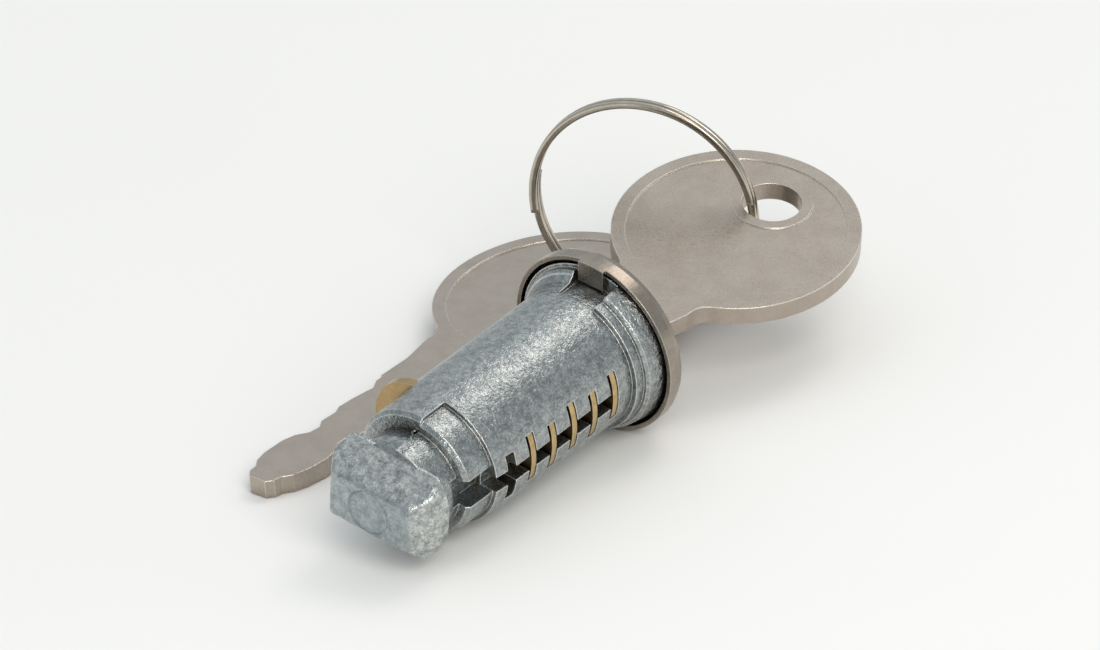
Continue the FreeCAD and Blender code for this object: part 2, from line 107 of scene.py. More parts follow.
def add_node(tree: Tree, kind: str, settings: dict[str | int, Any] | None = None,
             links: dict[str | int, Socket] | None = None) -> bpy.types.Node:
    """Add a shader node with its settings, its socket values and its links.

    Args:
        tree: The node tree that gets the node.
        kind: The node's type, such as "ShaderNodeTexNoise".
        settings: Values by property name, or by input socket name or number.
        links: Output sockets by the input socket's name or number.

    Returns:
        The new node.
    """
    node = tree.nodes.new(kind)
    for name, value in (settings or {}).items():
        if isinstance(name, str) and hasattr(node, name):
            setattr(node, name, value)
        else:
            node.inputs[name].default_value = value
    for name, socket in (links or {}).items():
        tree.links.new(socket, node.inputs[name])
    return node


def new_material(name: str) -> tuple[bpy.types.Material, Tree]:
    """Make an empty node material.

    Args:
        name: The finish's name.

    Returns:
        The material and its node tree.
    """
    material = bpy.data.materials.new(name)
    material.use_nodes = True
    material.node_tree.nodes.clear()
    return material, material.node_tree


class Layer(Enum):
    """A layer of noise in a metal's skin."""

    MOTTLE = "mottle"
    SPECK = "speck"
    RELIEF = "relief"
    GRAIN = "grain"


# How many finer octaves each layer's noise has, and how strong each is beside the one before.
CLOUD_DETAIL = {Layer.MOTTLE: 5.0, Layer.SPECK: 1.0, Layer.RELIEF: 2.0, Layer.GRAIN: 3.0}
CLOUD_ROUGHNESS = 0.6
# The middle of the noise's range, which is the part that its values fill.
MOTTLE_BAND = {"From Min": 0.36, "From Max": 0.66}
SPECK_BAND = {"From Min": 0.35, "From Max": 0.65}
GRAIN_BAND = {"From Min": 0.3, "From Max": 0.7}
# Dot product of the rounded normal and the true one, from a flat face to an edge with a painted
# highlight.
EDGE_BAND = {"From Min": 0.995, "From Max": 0.90}
EDGE_SAMPLES = 6
# Share of open sky round a point, from an open place to a hemmed-in one, where painted shade
# falls.
HOLLOW_SHADE_BAND = {"From Min": 0.75, "From Max": 0.25}
HOLLOW_SHADE_SAMPLES = 8
# Distance to a cell's border as a share of the cell, from beside a scratch to its middle.
SCRATCH_BAND = {"From Min": 0.018, "From Max": 0.0}
# Noise that lets scratches show, from where there are none to where all are.
PATCH_BAND = {"From Min": 0.52, "From Max": 0.62}


@dataclass(frozen=True)
class MetalFinish:
    """A metal surface with mottle, relief, scratches, softened edges, painted edge highlights and
    painted shade in hollows.

    Lengths are in millimetres on the real object. A pixel of the photograph is 0.095 mm wide,
    so grain, which is really finer, is drawn at 0.12 mm or more to show. Scratches lie about
    a millimetre apart, six times as long, in patches of about two millimetres.
    """

    name: str
    colour: str
    mottle: str
    hollow_shade: str
    roughness: float
    mottle_size: float = 1.2
    mottle_share: float = 0.5
    rough_spread: float = 0.08
    relief_size: float = 0.4
    relief_depth: float = 0.004
    grain_size: float = 0.12
    grain_depth: float = 0.001
    scratch_depth: float = 0.0
    scratch_gap: float = 1.1
    scratch_patch: float = 2.3
    scratch_turn: Point = (0.5, 0.3, 0.9)
    scratch_squeeze: Point = (1.0, 0.16, 0.6)
    edge_round: float = 0.10
    speck_size: float = 0.2
    speck_share: float = 0.0
    edge_glint: str = "#ffffff"
    edge_share: float = 0.0
    hollow_shade_reach: float = 1.2
    hollow_shade_share: float = 0.6
    metallic: float = 1.0

    def build(self) -> bpy.types.Material:
        """Make the material.

        The colour is the base mixed with a mottle by noise, with a painted highlight on the edges
        and with painted shade where the surface is hemmed in. Relief, grain and scratches raise
        bumps one over the other on a normal that rounds the edges.

        Returns:
            The material.
        """
        material, tree = new_material(self.name)
        place = add_node(tree, "ShaderNodeTexCoord").outputs["Object"]
        sizes = {Layer.MOTTLE: self.mottle_size, Layer.SPECK: self.speck_size,
                 Layer.RELIEF: self.relief_size, Layer.GRAIN: self.grain_size}
        clouds = {layer: add_node(tree, "ShaderNodeTexNoise",
                                  {"Scale": 1 / (size * MM), "Detail": CLOUD_DETAIL[layer],
                                   "Roughness": CLOUD_ROUGHNESS},
                                  {"Vector": place}).outputs["Fac"]
                  for layer, size in sizes.items()}
        edge = add_node(tree, "ShaderNodeBevel",
                        {"samples": EDGE_SAMPLES, "Radius": self.edge_round * MM}).outputs[0]
        bumps = [(clouds[Layer.RELIEF], self.relief_depth, False),
                 (clouds[Layer.GRAIN], self.grain_depth, False)]
        if self.scratch_depth > 0:
            bumps.append((self.scratches(tree, place), self.scratch_depth, True))
        normal = edge
        for height, depth, cut in bumps:
            normal = add_node(tree, "ShaderNodeBump",
                              {"Strength": 1.0, "Distance": depth * MM, "invert": cut},
                              {"Height": height, "Normal": normal}).outputs[0]
        rough = add_node(tree, "ShaderNodeMapRange",
                         GRAIN_BAND | {"To Min": self.roughness - self.rough_spread,
                                       "To Max": self.roughness + self.rough_spread},
                         {"Value": clouds[Layer.GRAIN]}).outputs[0]
        surface = add_node(tree, "ShaderNodeBsdfPrincipled", {"Metallic": self.metallic},
                           {"Base Color": self.tone(tree, place, clouds, edge),
                            "Roughness": rough, "Normal": normal}).outputs[0]
        add_node(tree, "ShaderNodeOutputMaterial", links={"Surface": surface})
        return material

    def tone(self, tree: Tree, place: Socket, clouds: dict[Layer, Socket],
             edge: Socket) -> Socket:
        """Colour of the surface: mottle and specks, then a painted highlight on edges, then
        painted shade in hollows.

        An edge shows where the rounded normal leaves the true one: their dot product is
        under 1 there. The painted shade follows the share of open sky round a point.

        Args:
            tree: The material's node tree.
            place: Object coordinates.
            clouds: Noise by layer, 0 to 1.
            edge: The normal that rounds the edges.

        Returns:
            The colour.
        """
        share = add_node(tree, "ShaderNodeMapRange", MOTTLE_BAND | {"To Max": self.mottle_share},
                         {"Value": clouds[Layer.MOTTLE]}).outputs[0]
        tone = add_node(tree, "ShaderNodeMix",
                        {"data_type": "RGBA", COLOUR_A: linear(self.colour),
                         COLOUR_B: linear(self.mottle)}, {0: share}).outputs[COLOUR_OUT]
        if self.speck_share > 0:
            speck = add_node(tree, "ShaderNodeMapRange",
                             SPECK_BAND | {"To Min": 1 - self.speck_share,
                                           "To Max": 1 + self.speck_share},
                             {"Value": clouds[Layer.SPECK]}).outputs[0]
            tone = add_node(tree, "ShaderNodeVectorMath", {"operation": "SCALE"},
                            {0: tone, "Scale": speck}).outputs[0]
        # Painted highlight: edges are mixed towards the pale edge_glint colour.
        if self.edge_share > 0:
            true_normal = add_node(tree, "ShaderNodeNewGeometry").outputs["Normal"]
            bend = add_node(tree, "ShaderNodeVectorMath", {"operation": "DOT_PRODUCT"},
                            {0: edge, 1: true_normal}).outputs["Value"]
            glinting = add_node(tree, "ShaderNodeMapRange", EDGE_BAND | {"To Max": self.edge_share},
                            {"Value": bend}).outputs[0]
            tone = add_node(tree, "ShaderNodeMix",
                            {"data_type": "RGBA", COLOUR_B: linear(self.edge_glint)},
                            {0: glinting, COLOUR_A: tone}).outputs[COLOUR_OUT]
        # Painted shade: the colour is mixed towards hollow_shade where little open sky is round a
        # point.
        sky = add_node(tree, "ShaderNodeAmbientOcclusion",
                       {"samples": HOLLOW_SHADE_SAMPLES, "Distance": self.hollow_shade_reach * MM}).outputs["AO"]
        shaded = add_node(tree, "ShaderNodeMapRange", HOLLOW_SHADE_BAND | {"To Max": self.hollow_shade_share},
                          {"Value": sky}).outputs[0]
        return add_node(tree, "ShaderNodeMix", {"data_type": "RGBA", COLOUR_B: linear(self.hollow_shade)},
                        {0: shaded, COLOUR_A: tone}).outputs[COLOUR_OUT]

    def scratches(self, tree: Tree, place: Socket) -> Socket:
        """Fine scratches: thin cell borders of a stretched, turned pattern, broken up by noise.

        Args:
            tree: The material's node tree.
            place: Object coordinates.

        Returns:
            The scratch height, 1 in a scratch.
        """
        turned = add_node(tree, "ShaderNodeMapping",
                          {"Rotation": self.scratch_turn, "Scale": self.scratch_squeeze},
                          {"Vector": place}).outputs[0]
        border = add_node(tree, "ShaderNodeTexVoronoi",
                          {"feature": "DISTANCE_TO_EDGE", "Scale": 1 / (self.scratch_gap * MM)},
                          {"Vector": turned}).outputs[0]
        thin = add_node(tree, "ShaderNodeMapRange", SCRATCH_BAND, {"Value": border}).outputs[0]
        patch = add_node(tree, "ShaderNodeTexNoise",
                         {"Scale": 1 / (self.scratch_patch * MM), "Detail": 2.0},
                         {"Vector": place}).outputs["Fac"]
        some = add_node(tree, "ShaderNodeMapRange", PATCH_BAND, {"Value": patch}).outputs[0]
        return add_node(tree, "ShaderNodeMath", {"operation": "MULTIPLY"},
                        {0: thin, 1: some}).outputs[0]


@dataclass(frozen=True)
class EjectedCasting(MetalFinish):
    """A casting whose end, and the ejector pin's mark on it, are painted darker as painted shade.

    The end is at end_place along Y, and the painted shade fades out over end_reach.
    """

    mark_middle: Point = (0.0, 0.0, MARK_RISE)
    mark_radius: float = MARK_RADIUS
    mark_blur: float = 0.1
    end_place: float = -32.05
    end_reach: float = 0.8
    end_shade: str = "#86939a"
    end_share: float = 0.55
    disc_share: float = 0.35
    ring_shade: str = "#4f5857"
    ring_share: float = 1.5

    def disc(self, tree: Tree, place: Socket) -> Socket:
        """Share of the disc inside the mark's circle, round a line along Y.

        It goes from 0 to 1 as the distance from that line falls through the radius, over a
        tenth of the radius to either side.

        Args:
            tree: The material's node tree.
            place: Object coordinates.

        Returns:
            The share, 0 to 1.
        """
        middle = tuple(value * MM for value in self.mark_middle)
        away = add_node(tree, "ShaderNodeVectorMath", {"operation": "SUBTRACT", 1: middle},
                        {0: place}).outputs[0]
        flat = add_node(tree, "ShaderNodeVectorMath",
                        {"operation": "MULTIPLY", 1: (1.0, 0.0, 1.0)}, {0: away}).outputs[0]
        distance = add_node(tree, "ShaderNodeVectorMath", {"operation": "LENGTH"},
                            {0: flat}).outputs["Value"]
        return add_node(tree, "ShaderNodeMapRange",
                        {"interpolation_type": "SMOOTHSTEP",
                         "From Min": (1 + self.mark_blur) * self.mark_radius * MM,
                         "From Max": (1 - self.mark_blur) * self.mark_radius * MM},
                        {"Value": distance}).outputs[0]

    def tone(self, tree: Tree, place: Socket, clouds: dict[Layer, Socket],
             edge: Socket) -> Socket:
        """Colour of the casting, with painted shade on the end and deeper in the disc, and
        painted shade along its circle.

        The circle is where the disc's share passes one half: the share folded at one half
        peaks there.

        Args:
            tree: The material's node tree.
            place: Object coordinates.
            clouds: Noise by layer, 0 to 1.
            edge: The normal that rounds the edges.

        Returns:
            The colour.
        """
        tone = super().tone(tree, place, clouds, edge)
        along = add_node(tree, "ShaderNodeSeparateXYZ", links={0: place}).outputs["Y"]
        end = add_node(tree, "ShaderNodeMapRange",
                       {"interpolation_type": "SMOOTHSTEP",
                        "From Min": (self.end_place + self.end_reach) * MM,
                        "From Max": self.end_place * MM, "To Max": self.end_share},
                       {"Value": along}).outputs[0]
        inside = self.disc(tree, place)
        disc = add_node(tree, "ShaderNodeMath",
                        {"operation": "MULTIPLY_ADD", 1: self.disc_share, 2: 1.0},
                        {0: inside}).outputs[0]
        share = add_node(tree, "ShaderNodeMath", {"operation": "MULTIPLY"},
                         {0: end, 1: disc}).outputs[0]
        # Painted shade: the end, and the disc more, are mixed towards end_shade.
        end_shaded = add_node(tree, "ShaderNodeMix",
                        {"data_type": "RGBA", COLOUR_B: linear(self.end_shade)},
                        {0: share, COLOUR_A: tone}).outputs[COLOUR_OUT]
        # Painted shade along the mark's circle, mixed towards ring_shade.
        circle = add_node(tree, "ShaderNodeMath", {"operation": "PINGPONG", 1: 0.5},
                          {0: inside}).outputs[0]
        faced = add_node(tree, "ShaderNodeMath", {"operation": "MULTIPLY"},
                         {0: circle, 1: end}).outputs[0]
        shaded = add_node(tree, "ShaderNodeMath", {"operation": "MULTIPLY", 1: self.ring_share},
                          {0: faced}).outputs[0]
        return add_node(tree, "ShaderNodeMix",
                        {"data_type": "RGBA", COLOUR_B: linear(self.ring_shade)},
                        {0: shaded, COLOUR_A: end_shaded}).outputs[COLOUR_OUT]


# Zinc, pressure die-cast and passivated: bluish grey, satin, with a fine uneven skin that breaks
# up the lamp's reflection into specks where the metal froze.
# Its hollows get painted shade, brown as a painted reflection of the brass wafers, and its edges
# a painted highlight.
ZINC = dict(mottle="#767c7e", hollow_shade="#5c452b", roughness=0.31, mottle_size=0.8,
            mottle_share=0.75, rough_spread=0.10, relief_size=0.42, relief_depth=0.110,
            grain_size=0.15, grain_depth=0.014, scratch_depth=0.004, edge_round=0.18,
            speck_size=0.22, edge_glint="#e9ebe9", edge_share=1.0, hollow_shade_share=0.62)
CAST_ZINC = MetalFinish("cast zinc", colour="#adb1b0", speck_share=0.18, **ZINC)
# The same casting at its far end, painted paler as a lit copy of the zinc, with rounder edges and
# painted shade on its grey-blue end.
ZINC_BAR = EjectedCasting("cast zinc bar", colour="#cfd2cf", speck_share=0.20,
                          **(ZINC | {"edge_round": 0.34}))
# Brass blanks with a nickel plate, rolled and tumbled: warm grey, even, with a soft gloss.
NICKEL_PLATE = MetalFinish("nickel plate", "#b5aa9f", "#a79b90", "#4a423a", 0.30, mottle_size=2.4,
                           mottle_share=0.6, rough_spread=0.05, relief_size=1.4,
                           relief_depth=0.010, grain_size=0.25, grain_depth=0.0012,
                           edge_round=0.15, edge_glint="#f1e9dc", edge_share=1.0,
                           hollow_shade_share=0.35)
# Mild steel sheet, pressed and nickelled: warm grey with a painted sheen round the rolled edge.
PRESSED_STEEL = MetalFinish("pressed steel", "#a2988d", "#8a8076", "#241d18", 0.30,
                            mottle_size=1.3, mottle_share=0.6, relief_size=0.8,
                            relief_depth=0.020, edge_round=0.14, edge_glint="#d8cfc4",
                            edge_share=0.8, hollow_shade_reach=0.8, hollow_shade_share=0.20)
# Brass strip, stamped: pale tan, with a painted highlight on the cut edge.
WAFER_BRASS = MetalFinish("stamped brass", "#cdb283", "#a98d5c", "#2c1c0d", 0.34,
                          mottle_size=0.7, mottle_share=0.7, relief_size=0.3,
                          relief_depth=0.020, edge_round=0.10, edge_glint="#ead9b2",
                          edge_share=0.7, hollow_shade_share=0.7)
# Brass plate of the retainer, stamped: deeper gold, with a painted highlight on the cut edge.
RETAINER_BRASS = MetalFinish("retainer brass", "#b49b74", "#9a7f52", "#3a260f", 0.32,
                             mottle_size=1.5, mottle_share=0.6, relief_size=0.6,
                             relief_depth=0.015, edge_round=0.12, edge_glint="#ecd6a6",
                             edge_share=0.6, hollow_shade_share=0.7)
# Spring-steel wire, drawn and nickelled: bright lines along the wire, dark between its turns,
# deepened by painted shade.
BRIGHT_WIRE = MetalFinish("bright wire", "#c6bdb0", "#a39a8d", "#2a241e", 0.14, mottle_size=1.0,
                          mottle_share=0.5, relief_size=0.8, relief_depth=0.006,
                          edge_round=0.05, hollow_shade_reach=0.5, hollow_shade_share=0.8)


def dress(piece: Piece, material: bpy.types.Material) -> None:
    """Give every face of a piece one material.

    Args:
        piece: A CAD node's object or a new piece.
        material: The finish.
    """
    slots = piece.material_slots
    if not slots:
        piece.data.materials.append(material)
        return
    for slot in slots:
        slot.material = material


def mesh_piece(name: str, points: Array, faces: Iterable[Iterable[int]]) -> Piece:
    """Make a smooth-shaded object at the origin from points and faces.

    Args:
        name: The piece's name.
        points: Vertices, one row each, in metres.
        faces: Vertex numbers of each face, counter-clockwise from outside.

    Returns:
        The object, linked into the scene.
    """
    mesh = bpy.data.meshes.new(name)
    mesh.from_pydata(points.tolist(), [], [list(face) for face in faces])
    mesh.validate()
    mesh.shade_smooth()
    piece = bpy.data.objects.new(name, mesh)
    bpy.context.scene.collection.objects.link(piece)
    return piece


def vertices(piece: Piece) -> Array:
    """Read a piece's vertices.

    Args:
        piece: A mesh object.

    Returns:
        The vertices, one row each.
    """
    flat = np.empty(len(piece.data.vertices) * 3)
    piece.data.vertices.foreach_get("co", flat)
    return flat.reshape(-1, 3)


def swept(name: str, line: Array, side: Array, rise: Array, profile: Array) -> Piece:
    """Carry a closed profile along a line and close both ends.

    A point of the surface is the line's point plus the profile's first coordinate along
    side plus its second along rise.

    Args:
        name: The piece's name.
        line: Points of the path, one row each.
        side: Unit vectors of the profile's first axis, one row each.
        rise: Unit vectors of the profile's second axis, one row each.
        profile: Points of the profile, counter-clockwise when side x rise points along the path.

    Returns:
        The object.
    """
    count, sides = len(line), len(profile)
    grid = (line[:, None, :] + profile[None, :, :1] * side[:, None, :]
            + profile[None, :, 1:] * rise[:, None, :])
    row = np.arange(count - 1)[:, None] * sides
    step = np.arange(sides)[None, :]
    ahead = (step + 1) % sides
    quads = np.stack([row + step, row + ahead, row + sides + ahead, row + sides + step], axis=-1)
    faces = quads.reshape(-1, 4).tolist()
    faces.append(list(range(sides))[::-1])
    faces.append([(count - 1) * sides + i for i in range(sides)])
    return mesh_piece(name, grid.reshape(-1, 3), faces)


def superellipse(half_width: float, half_height: float, power: float, sides: int) -> Array:
    """Rounded rectangle: |x / a| to a power plus |y / b| to that power is 1.

    Args:
        half_width: a.
        half_height: b.
        power: 2 is an ellipse, and more is squarer.
        sides: How many points.

    Returns:
        The points, counter-clockwise.
    """
    turn = np.linspace(0.0, 2 * np.pi, sides, endpoint=False)
    cosine, sine = np.cos(turn), np.sin(turn)
    x = half_width * np.sign(cosine) * np.abs(cosine) ** (2 / power)
    y = half_height * np.sign(sine) * np.abs(sine) ** (2 / power)
    return np.stack([x, y], axis=1)


def unit(vector: Iterable[float]) -> Array:
    """Direction of length one."""
    array = np.asarray(list(vector), float)
    return array / np.linalg.norm(array)


def headings(line: Array) -> Array:
    """Directions of length one along a line of points, one row each."""
    way = np.gradient(line, axis=0)
    return way / np.linalg.norm(way, axis=1, keepdims=True)


class SpringSide(Enum):
    """An end of a spring along X, and the way in which that end pushes a wafer."""

    LEFT = -1
    RIGHT = 1


@dataclass
class DriverBar:
    """The tapered bar at the tail, cast with soft edges, and the ejector pin's mark on its end.

    back, heel, tip and middle are places along Y. The half widths are along X, top and bottom
    along Z, and reach is the greatest distance from the plug's axis. Each of the waves is its
    radians to a millimetre along X, Y and Z.
    """

    back: float = -27.85 * MM
    heel: float = -29.7 * MM
    tip: float = -31.96 * MM
    middle: float = -29.6 * MM
    reach: float = 6.95 * MM
    half_width: float = 6.75 * MM
    heel_half_width: float = 6.35 * MM
    tip_half_width: float = 4.65 * MM
    top: float = 4.6 * MM
    tip_top: float = 2.4 * MM
    bottom: float = 4.4 * MM
    tip_bottom: float = 2.6 * MM
    soft_power: float = 26.0
    sharp_power: float = 80.0
    mark_rise: float = MARK_RISE * MM
    mark_radius: float = MARK_RADIUS * MM
    mark_depth: float = 0.14 * MM
    mark_slope: float = 0.376 * MM
    lip_height: float = 0.10 * MM
    lip_width: float = 0.17 * MM
    waviness: float = 0.05 * MM
    waves: tuple[Point, Point, Point] = ((2.3, 0.0, 1.1), (0.0, -0.8, 1.9), (2.7, 4.1, 0.0))
    rows: int = 150
    sides: int = 300

    def slant(self, first: Pair, last: Pair) -> Pair:
        """Slanting side as a share of the way out.

        On the side, along x (y - middle) + across x half width is 1.

        Args:
            first: (y, half width) at one end of the side.
            last: The same at its other end.

        Returns:
            The two factors, along and across.
        """
        matrix = np.array([[first[0] - self.middle, first[1]], [last[0] - self.middle, last[1]]])
        along, across = np.linalg.solve(matrix, np.ones(2))
        return float(along), float(across)

    def shares(self, way: Array) -> Array:
        """Distance of each direction's unit step from the middle, as a share of each side's.

        Args:
            way: Directions, one row each.

        Returns:
            One column for each side except the back.
        """
        x, y, z = way[:, 0], way[:, 1], way[:, 2]
        columns = [-y / (self.middle - self.tip), np.hypot(x, z) / self.reach]
        for first, last in (((self.back, self.half_width), (self.heel, self.heel_half_width)),
                            ((self.heel, self.heel_half_width), (self.tip, self.tip_half_width))):
            along, across = self.slant(first, last)
            columns += [along * y + across * np.abs(x)]
        along, across = self.slant((self.back, self.top), (self.tip, self.tip_top))
        columns += [along * y + across * z, -z / self.bottom]
        along, across = self.slant((self.heel, self.bottom), (self.tip, self.tip_bottom))
        columns += [along * y - across * z]
        return np.maximum(np.stack(columns, axis=1), 0.0)

    def surface(self, way: Array) -> Array:
        """Points of the bar in every direction from its middle.

        The distance is 1 / N, where N is the p-norm of the sides' shares, so that edges are
        soft, joined to the back's share with a higher power, so that the back's edge is
        sharper. The skin then sinks by waviness x (2 + wave) / 4, where the wave is the
        product of two sines plus a third. The mark sinks by a smooth step across its circle,
        inside a lip whose height is exp(-(distance from the circle / width) squared).

        Args:
            way: Directions, one row each.

        Returns:
            The points.
        """
        soft = (self.shares(way) ** self.soft_power).sum(axis=1) ** (1 / self.soft_power)
        back = np.maximum(way[:, 1], 0.0) / (self.back - self.middle)
        norm = (soft ** self.sharp_power + back ** self.sharp_power) ** (1 / self.sharp_power)
        points = way / norm[:, None]
        first, second, third = np.sin(points / MM @ np.array(self.waves).T).T
        wave = first * second + third
        points -= self.waviness * (2 + wave)[:, None] / 4 * way
        toward_tip = way[:, 1] < 0
        away = np.hypot(points[:, 0], points[:, 2] - self.mark_rise)
        inside = np.clip(0.5 + (self.mark_radius - away) / self.mark_slope, 0.0, 1.0)
        inside = inside * inside * (3 - 2 * inside) * toward_tip
        lip = np.exp(-((away - self.mark_radius) / self.lip_width) ** 2) * toward_tip
        points[:, 1] += self.middle + self.mark_depth * inside - self.lip_height * lip
        return points

    def directions(self) -> Array:
        """Directions all round the bar's middle: a pole at the tip, rings, a pole at the back.

        A ring's directions are (sin t cos u, -cos t, sin t sin u), where t is its tilt from
        the tip and u goes once round the plug's axis.

        Returns:
            The directions, one row each.
        """
        tilt = np.pi * np.arange(1, self.rows)[:, None] / self.rows
        turn = np.linspace(0.0, 2 * np.pi, self.sides, endpoint=False)[None, :]
        rings = np.broadcast_arrays(np.sin(tilt) * np.cos(turn), -np.cos(tilt),
                                    np.sin(tilt) * np.sin(turn))
        return np.concatenate([[[0.0, -1.0, 0.0]], np.stack(rings, axis=-1).reshape(-1, 3),
                               [[0.0, 1.0, 0.0]]])

    def faces(self) -> list[list[int]]:
        """Join the rings by quads and close each pole by a fan of triangles.

        Returns:
            Vertex numbers of each face, counter-clockwise from outside.
        """
        row = 1 + np.arange(self.rows - 2)[:, None] * self.sides
        step = np.arange(self.sides)
        ahead = (step + 1) % self.sides
        quads = np.stack([row + step, row + self.sides + step,
                          row + self.sides + ahead, row + ahead], axis=-1)
        last = 1 + (self.rows - 2) * self.sides
        pole = np.full_like(step, last + self.sides)
        tip_fan = np.stack([np.zeros_like(step), 1 + step, 1 + ahead], axis=-1)
        back_fan = np.stack([pole, last + ahead, last + step], axis=-1)
        return quads.reshape(-1, 4).tolist() + tip_fan.tolist() + back_fan.tolist()

    def build(self) -> None:
        """Make the bar on its grid of directions."""
        way = self.directions()
        piece = mesh_piece("driver_bar", self.surface(way), self.faces())
        dress(piece, ZINC_BAR.build())
        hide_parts("plug_body")
        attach(piece, "plug")
        log.info("driver bar cast, %d points", len(way))


@dataclass
class Neck:
    """The left half of the neck, a little lower than the right one, and the flash between them.

    Angles are in degrees. Each row of flash_sway is the degrees of a sine and its radians over
    the whole length.
    """

    front: float = -24.6 * MM
    back: float = -28.18 * MM
    radius: float = 5.18 * MM
    sides: int = 96
    flash_front: float = -24.78 * MM
    flash_radius: float = 5.34 * MM
    flash_wire: float = 0.14 * MM
    flash_flatness: float = 0.8
    flash_sunk: float = 0.3
    flash_start: float = 93.0
    flash_fall: float = 15.0
    flash_sway: tuple[Pair, ...] = ((2.2, 9.0), (1.2, 23.0))
    flash_steps: int = 60
    flash_sides: int = 10

    def build(self) -> None:
        """Make the round filling of the relief and the flash along its edge."""
        zinc = CAST_ZINC.build()
        for piece in (self.filling(), self.flash()):
            dress(piece, zinc)
            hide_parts("plug_body")
            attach(piece, "plug")
        log.info("neck filled out")

    def filling(self) -> Piece:
        """Sweep a circle from the plug's rear face into the driver bar.

        Returns:
            The round bar.
        """
        line = np.array([[0.0, self.front, 0.0], [0.0, self.back, 0.0]])
        side = np.repeat([[1.0, 0.0, 0.0]], 2, axis=0)
        rise = np.repeat([[0.0, 0.0, 1.0]], 2, axis=0)
        return swept("neck_filling", line, side, rise,
                     superellipse(self.radius, self.radius, 2.0, self.sides))

    def flash(self) -> Piece:
        """Sweep the thin wavy ridge of zinc that the mould's joint left along the neck's top.

        Its angle round the plug's axis falls evenly over the length, with sines on it.

        Returns:
            The ridge.
        """
        share = np.linspace(0.0, 1.0, self.flash_steps)
        degrees = self.flash_start - self.flash_fall * share
        degrees += sum(swing * np.sin(wave * share) for swing, wave in self.flash_sway)
        angle = np.radians(degrees)
        outward = np.stack([np.cos(angle), np.zeros_like(angle), np.sin(angle)], axis=1)
        centre = outward * (self.flash_radius - self.flash_sunk * self.flash_wire)
        centre[:, 1] = self.flash_front + share * (self.back - self.flash_front)
        profile = superellipse(self.flash_wire, self.flash_wire * self.flash_flatness, 2.0,
                               self.flash_sides)
        return swept("neck_flash", centre, outward, np.cross(headings(centre), outward), profile)


@dataclass
class Plug:
    """The die-cast plug and the steel cap pressed over its flange.

    The plug's copy ends at the cut, inside the driver bar. Vertices closer than the weld are
    one, and faces that meet at more than smooth_angle, in degrees, keep a sharp edge.
    """

    cut: float = -28.19 * MM
    weld: float = 0.001 * MM
    smooth_angle: float = 28.0

    def build(self) -> None:
        """Dress the plug and its cap."""
        piece = self.casting()
        dress(piece, CAST_ZINC.build())
        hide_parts("plug_body")
        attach(piece, "plug")
        dress(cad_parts["face_cap"], PRESSED_STEEL.build())
        log.info("plug and face cap dressed")

    def casting(self) -> Piece:
        """Copy the plug up to its bar, with its vertices merged and its round faces smooth.

        Returns:
            The copy.
        """
        mesh = bpy.data.meshes.new("plug_casting")
        work = bmesh.new()
        work.from_mesh(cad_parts["plug_body"].data)
        bmesh.ops.remove_doubles(work, verts=work.verts, dist=self.weld)
        bmesh.ops.bisect_plane(work, geom=work.verts[:] + work.edges[:] + work.faces[:],
                               plane_co=(0.0, self.cut, 0.0), plane_no=(0.0, 1.0, 0.0),
                               clear_inner=True)
        rim = [edge for edge in work.edges if edge.is_boundary]
        bmesh.ops.holes_fill(work, edges=rim, sides=0)
        bmesh.ops.recalc_face_normals(work, faces=work.faces)
        work.to_mesh(mesh)
        work.free()
        for name in ("custom_normal", "sharp_edge", "sharp_face"):
            if name in mesh.attributes:
                mesh.attributes.remove(mesh.attributes[name])
        mesh.shade_smooth()
        mesh.set_sharp_from_angle(angle=np.radians(self.smooth_angle))
        piece = bpy.data.objects.new("plug_casting", mesh)
        bpy.context.scene.collection.objects.link(piece)
        return piece


@dataclass
class Coil:
    """A small compression spring along X, wound where its CAD sleeve lies.

    closing is how far the end turns draw together, as a share of the spring's length.
    """

    node: str
    turns: float = 6.5
    wire: float = 0.2 * MM
    closing: float = 0.05
    steps: int = 200
    sides: int = 10

    def end(self, side: SpringSide) -> Point:
        """Middle of the spring's left or right end.

        Args:
            side: Which end.

        Returns:
            The point.
        """
        low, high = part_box(self.node)
        along = low[0] if side is SpringSide.LEFT else high[0]
        return float(along), float(low[1] + high[1]) / 2, float(low[2] + high[2]) / 2

    def build(self, material: bpy.types.Material) -> Piece:
        """Wind the spring.

        The wire's line is a helix round X: its angle grows evenly with the share s of the
        wire, and its place along X as s - closing x sin(2 pi s), so the end turns close up.

        Args:
            material: The wire's finish.

        Returns:
            The spring, not yet on a body.
        """
        low, high = (np.array(corner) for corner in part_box(self.node))
        middle = (low + high) / 2
        radius = (high[1] - low[1]) / 2 - self.wire / 2
        share = np.linspace(0.0, 1.0, self.steps)
        eased = share - self.closing * np.sin(2 * np.pi * share)
        angle = 2 * np.pi * self.turns * share
        zero = np.zeros_like(share)
        outward = np.stack([zero, np.cos(angle), np.sin(angle)], axis=1)
        along = low[0] + self.wire / 2 + eased * (high[0] - low[0] - self.wire)
        line = np.stack([along, zero + middle[1], zero + middle[2]], axis=1) + radius * outward
        piece = swept(self.node + "_coil", line, outward, np.cross(headings(line), outward),
                      superellipse(self.wire / 2, self.wire / 2, 2.0, self.sides))
        dress(piece, material)
        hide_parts(self.node)
        log.info("%s wound, %.1f turns", piece.name, self.turns)
        return piece


@dataclass
class WaferPack:
    """Five wafers that spring alternately to the left and the right."""

    count: int = 5

    def build(self) -> None:
        """Dress the wafers and wind their springs, which stretch as they push the wafers out."""
        brass = WAFER_BRASS.build()
        wire = BRIGHT_WIRE.build()
        for number in range(1, self.count + 1):
            dress(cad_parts[f"wafer_{number}"], brass)
            coil = Coil(f"wafer_spring_{number}")
            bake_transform(coil.build(wire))
        log.info("%d wafers dressed", self.count)


